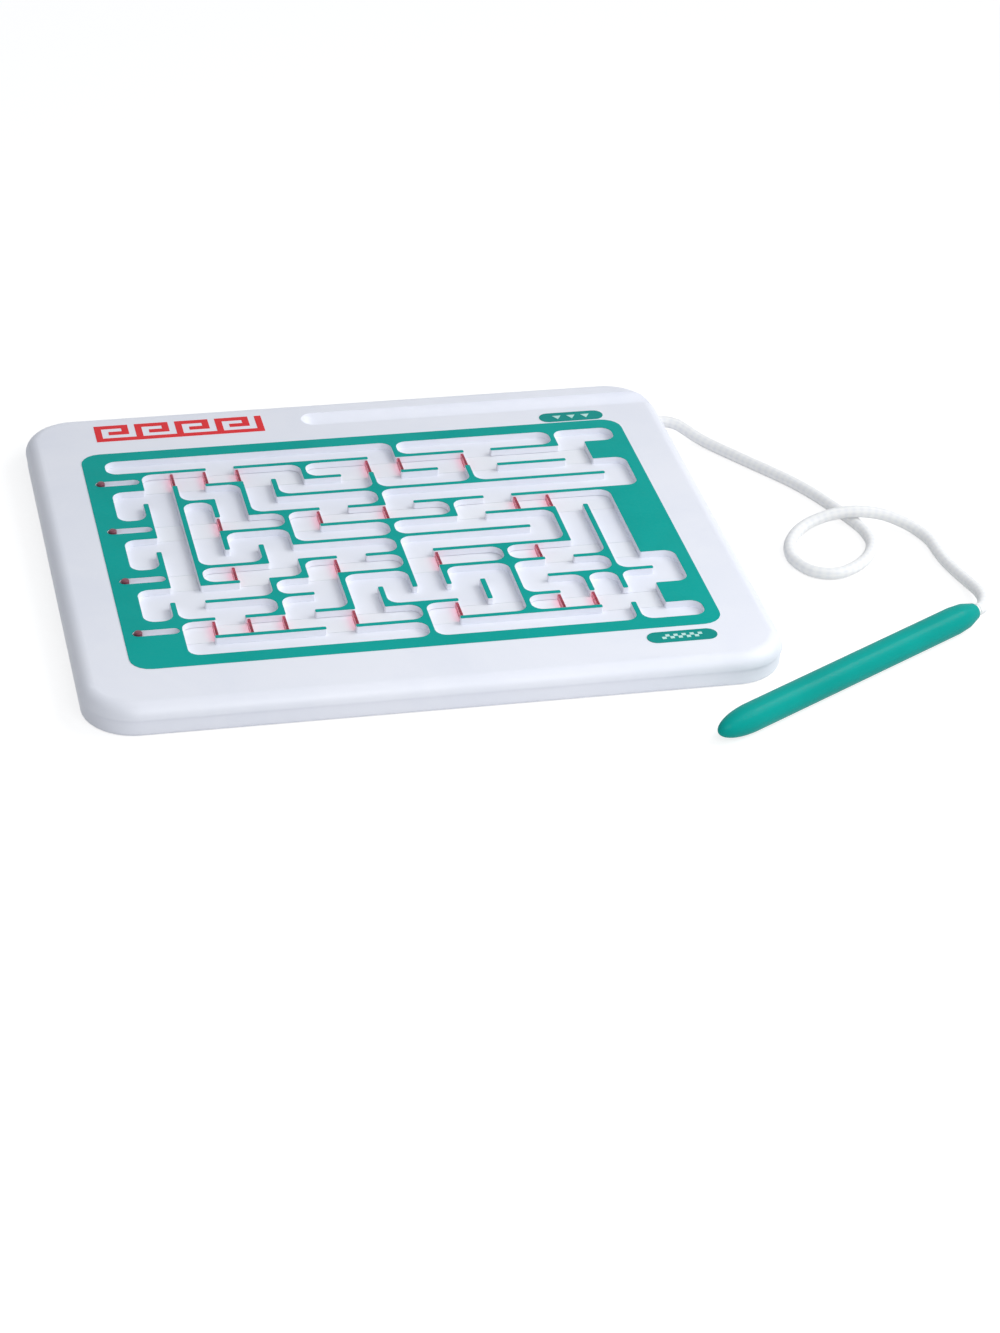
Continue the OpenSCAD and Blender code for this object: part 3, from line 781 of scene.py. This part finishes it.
arm = [(RECESS_REACH, -RECESS_HALF), (RECESS_REACH, RECESS_HALF), (RECESS_HALF, RECESS_HALF)]
quarters = [Matrix.Rotation(turn * math.pi / 2, 2) for turn in range(4)]
outline = [quarter @ Vector(point) for quarter in quarters for point in arm]
ring = [edge for edge in screws.edges if edge.is_boundary]
cross = [screws.verts.new((*point, -HEAD_HEIGHT)) for point in outline]
rim = [screws.edges.new(pair) for pair in zip(cross, cross[1:] + cross[:1])]
bmesh.ops.bridge_loops(screws, edges=ring + rim)
pushed = bmesh.ops.extrude_edge_only(screws, edges=rim)["geom"]
floor_verts = verts_of(pushed)
floor_edges = [item for item in pushed if isinstance(item, bmesh.types.BMEdge)
               and all(vert in floor_verts for vert in item.verts)]
bmesh.ops.translate(screws, verts=floor_verts, vec=(0, 0, RECESS_DEPTH))
bmesh.ops.scale(screws, verts=floor_verts, vec=(RECESS_TAPER, RECESS_TAPER, 1))
bmesh.ops.contextual_create(screws, geom=floor_edges)
bmesh.ops.recalc_face_normals(screws, faces=screws.faces)
print("screw with a cross recess:", len(screws.faces), "faces")

# %% Six screws of zinc-plated steel
SCREW_SHARP = math.radians(30)
ZINC_STEEL = grained("zinc-plated steel", (196, 198, 202), (164, 166, 172), smooth=0.24, rough=0.42,
                     grain_mm=0.15, bump_mm=0.01, patch_mm=1.6, bump_strength=0.3, Metallic=1.0)

side = screws_high.x - HEAD_RADIUS
rows = [screws_low.y + HEAD_RADIUS, (screws_low.y + screws_high.y) / 2, screws_high.y - HEAD_RADIUS]
places = [Vector((x, y, seat_height)) for x in (-side, side) for y in rows]
pattern_verts = screws.verts[:]
pattern = pattern_verts + screws.edges[:] + screws.faces[:]
for place in places[1:]:
    copied = bmesh.ops.duplicate(screws, geom=pattern)["geom"]
    bmesh.ops.translate(screws, verts=verts_of(copied), vec=place)
bmesh.ops.translate(screws, verts=pattern_verts, vec=places[0])
piece("back_screws", screws, ZINC_STEEL,
      body="case", replaces="case_screws", sharp=SCREW_SHARP)

# %% [markdown]
# ## Printed band and marks
# A red band stands at the back left of the board. A running key, the old meander of Greek borders, suits a
# maze and is built from squares: a grid is made, the squares off the line are deleted, and the rest is raised
# by the thickness of the ink. The pads get plain marks in pale ink: three arrowheads that point into the
# maze, and a chequer where the way ends.

# %% Ink helpers
INK_THICKNESS = 0.08 * MM


def raise_ink(bm, left_front, height):
    """Give flat faces the thickness of the ink and set them on the surface at that height."""
    bmesh.ops.dissolve_limit(bm, angle_limit=JOIN_TURN, verts=bm.verts, edges=bm.edges)
    raised = bmesh.ops.extrude_face_region(bm, geom=bm.faces[:], use_keep_orig=True)["geom"]
    bmesh.ops.translate(bm, verts=verts_of(raised), vec=(0, 0, INK_THICKNESS))
    bmesh.ops.recalc_face_normals(bm, faces=bm.faces)
    bmesh.ops.translate(bm, verts=bm.verts, vec=(*left_front, height))
    return bm


def squares(columns, rows, size, keep):
    """Flat squares from the origin to the right and back, where keep says so."""
    bm = bmesh.new()
    bmesh.ops.create_grid(bm, x_segments=columns, y_segments=rows, size=0.5)
    bmesh.ops.translate(bm, verts=bm.verts, vec=(0.5, 0.5, 0))
    bmesh.ops.scale(bm, verts=bm.verts, vec=(columns * size, rows * size, 1))
    unwanted = []
    for face in bm.faces:
        middle = face.calc_center_median() / size
        if not keep(int(middle.x), int(middle.y)):
            unwanted.append(face)
    bmesh.ops.delete(bm, geom=unwanted, context="FACES")
    return bm


print("ink helpers ready: a layer is", round(INK_THICKNESS / MM, 2), "mm thick")

# %% Red key band
KEY_SQUARE = 2.3 * MM
KEY_REPEATS = 4
KEY_WIDTH, KEY_HEIGHT = 6, 5
KEY_LEFT_FRONT = (-86 * MM, 76.5 * MM)
KEY_PATH = [(6, 0), (0, 0), (0, 4), (4, 4), (4, 2), (2, 2)]

key_squares = set()
for repeat in range(KEY_REPEATS):
    for (x0, y0), (x1, y1) in zip(KEY_PATH, KEY_PATH[1:]):
        across = range(min(x0, x1), max(x0, x1) + 1)
        up = range(min(y0, y1), max(y0, y1) + 1)
        key_squares.update((KEY_WIDTH * repeat + x, y) for x in across for y in up)
band_end = KEY_WIDTH * KEY_REPEATS
key_squares.update((band_end, y) for y in range(KEY_HEIGHT))
key_band = squares(band_end + 1, KEY_HEIGHT, KEY_SQUARE, lambda x, y: (x, y) in key_squares)
piece("red_key_band", raise_ink(key_band, KEY_LEFT_FRONT, board_high.z), RED_INK, body="case")

# %% Arrowheads on the start pad
ARROW_RADIUS = 1.7 * MM
ARROW_STEP = 5 * MM
pad_low, pad_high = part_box("start_pad")
pad_middle = (pad_low + pad_high) / 2
arrows = bmesh.new()
for step in (-1, 0, 1):
    to_front = Matrix.Translation((step * ARROW_STEP, 0, 0)) @ Matrix.Rotation(math.pi, 4, "Z")
    bmesh.ops.create_circle(arrows, cap_ends=True, segments=3, radius=ARROW_RADIUS, matrix=to_front)
piece("start_arrows", raise_ink(arrows, pad_middle.xy, pad_high.z), PALE_INK, body="case")

# %% Chequer on the finish pad
CHECK_SQUARE = 1.3 * MM
CHECK_COLUMNS, CHECK_ROWS = 10, 2
pad_low, pad_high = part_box("finish_pad")
pad_middle = (pad_low + pad_high) / 2
chequer = squares(CHECK_COLUMNS, CHECK_ROWS, CHECK_SQUARE, lambda x, y: (x + y) % 2 == 0)
chequer_corner = pad_middle.xy - Vector((CHECK_COLUMNS, CHECK_ROWS)) * CHECK_SQUARE / 2
piece("finish_chequer", raise_ink(chequer, chequer_corner, pad_high.z), PALE_INK, body="case")

# %% [markdown]
# ## Floor and light
# The photograph has a plain white ground. For the rays that the camera sees directly, in a mirror or through
# glass, the floor is a diffuse grey that also glows, so it looks white and still keeps the shadow of the
# board. For all other rays it is a pale table that throws light back up at the sides of the board. The world
# works the same way and is brighter towards the right. A broad sun and a lamp stand there too, so the shadows
# fall to the left, and a second lamp fills in from the front.

# %% Floor
FLOOR_HALF = 6.0
FLOOR_BOUNCE = 0.8
FLOOR_SEEN = 0.36
FLOOR_GLOW = 0.78


def seen_rays(tree):
    """1 for camera, mirror and glass rays, else 0."""
    path = put(tree, "LightPath").outputs
    direct = maths(tree, "MAXIMUM", path["Is Camera Ray"], path["Is Glossy Ray"])
    return maths(tree, "MAXIMUM", direct, path["Is Transmission Ray"])


def floor_material():
    """A glowing grey to the eye, and a pale table to all other light."""
    material = bpy.data.materials.new("pale floor")
    tree = empty_tree(material)
    seen = seen_rays(tree)
    grey = put(tree, "MapRange", {"Value": seen, "To Min": FLOOR_BOUNCE, "To Max": FLOOR_SEEN}).outputs[0]
    matte = put(tree, "BsdfDiffuse", {"Color": grey})
    glow = put(tree, "Emission", {"Strength": maths(tree, "MULTIPLY", seen, FLOOR_GLOW)})
    both = put(tree, "AddShader", {0: matte.outputs[0], 1: glow.outputs[0]})
    put(tree, "OutputMaterial", {"Surface": both.outputs[0]})
    return material


ground = bmesh.new()
bmesh.ops.create_grid(ground, x_segments=1, y_segments=1, size=FLOOR_HALF)
floor_mesh = bpy.data.meshes.new("floor")
ground.to_mesh(floor_mesh)
ground.free()
floor_mesh.materials.append(floor_material())
floor = bpy.data.objects.new("floor", floor_mesh)
scene.collection.objects.link(floor)
print("floor:", 2 * FLOOR_HALF, "m across")

# %% World
WORLD_LIGHT = 0.42
WORLD_SLANT = 0.4
WORLD_TINT = (0.9, 0.94, 1.0, 1.0)
PLAIN_WHITE = (1.0, 1.0, 1.0, 1.0)

world = bpy.data.worlds.new("studio")
scene.world = world
sky = empty_tree(world)
direction = put(sky, "TexCoord").outputs["Generated"]
rightward = put(sky, "SeparateXYZ", {"Vector": direction}).outputs["X"]
level = put(sky, "MapRange", {
    "Value": rightward, "From Min": -1.0, "To Min": WORLD_LIGHT * (1 - WORLD_SLANT),
    "To Max": WORLD_LIGHT * (1 + WORLD_SLANT)}).outputs[0]
light = put(sky, "Background", {"Color": WORLD_TINT, "Strength": level})
white = put(sky, "Background", {"Color": PLAIN_WHITE, "Strength": 1.0})
shown = put(sky, "MixShader", {0: seen_rays(sky), 1: light.outputs[0], 2: white.outputs[0]})
put(sky, "OutputWorld", {"Surface": shown.outputs[0]})
print("world:", WORLD_LIGHT, "in the middle, and more to the right by a share of", WORLD_SLANT)

# %% Lamps
def lamp(name, kind, place, aim, energy, **settings):
    """A lamp that stands at a place and points at an aim."""
    data = bpy.data.lights.new(name, kind)
    data.energy = energy
    for key, value in settings.items():
        setattr(data, key, value)
    made = bpy.data.objects.new(name, data)
    made.location = place
    made.rotation_euler = (Vector(aim) - Vector(place)).to_track_quat("-Z", "Y").to_euler()
    scene.collection.objects.link(made)
    print(f"{name}: {energy} at {place}")


lamp("broad sun", "SUN", place=(0.65, 0.15, 0.62), aim=(0, 0, 0), energy=0.5, angle=math.radians(20))
lamp("right lamp", "AREA", place=(0.45, -0.14, 0.42), aim=(0.02, -0.02, 0), energy=1.4, size=0.4)
lamp("front fill", "AREA", place=(0.06, -0.5, 0.4), aim=(0.01, 0, 0), energy=1.05, size=0.3)

# %% [markdown]
# ## Finish
# The picture is shown with the Standard view, so a colour renders as it is written.

# %% View transform
scene.view_settings.view_transform = "Standard"
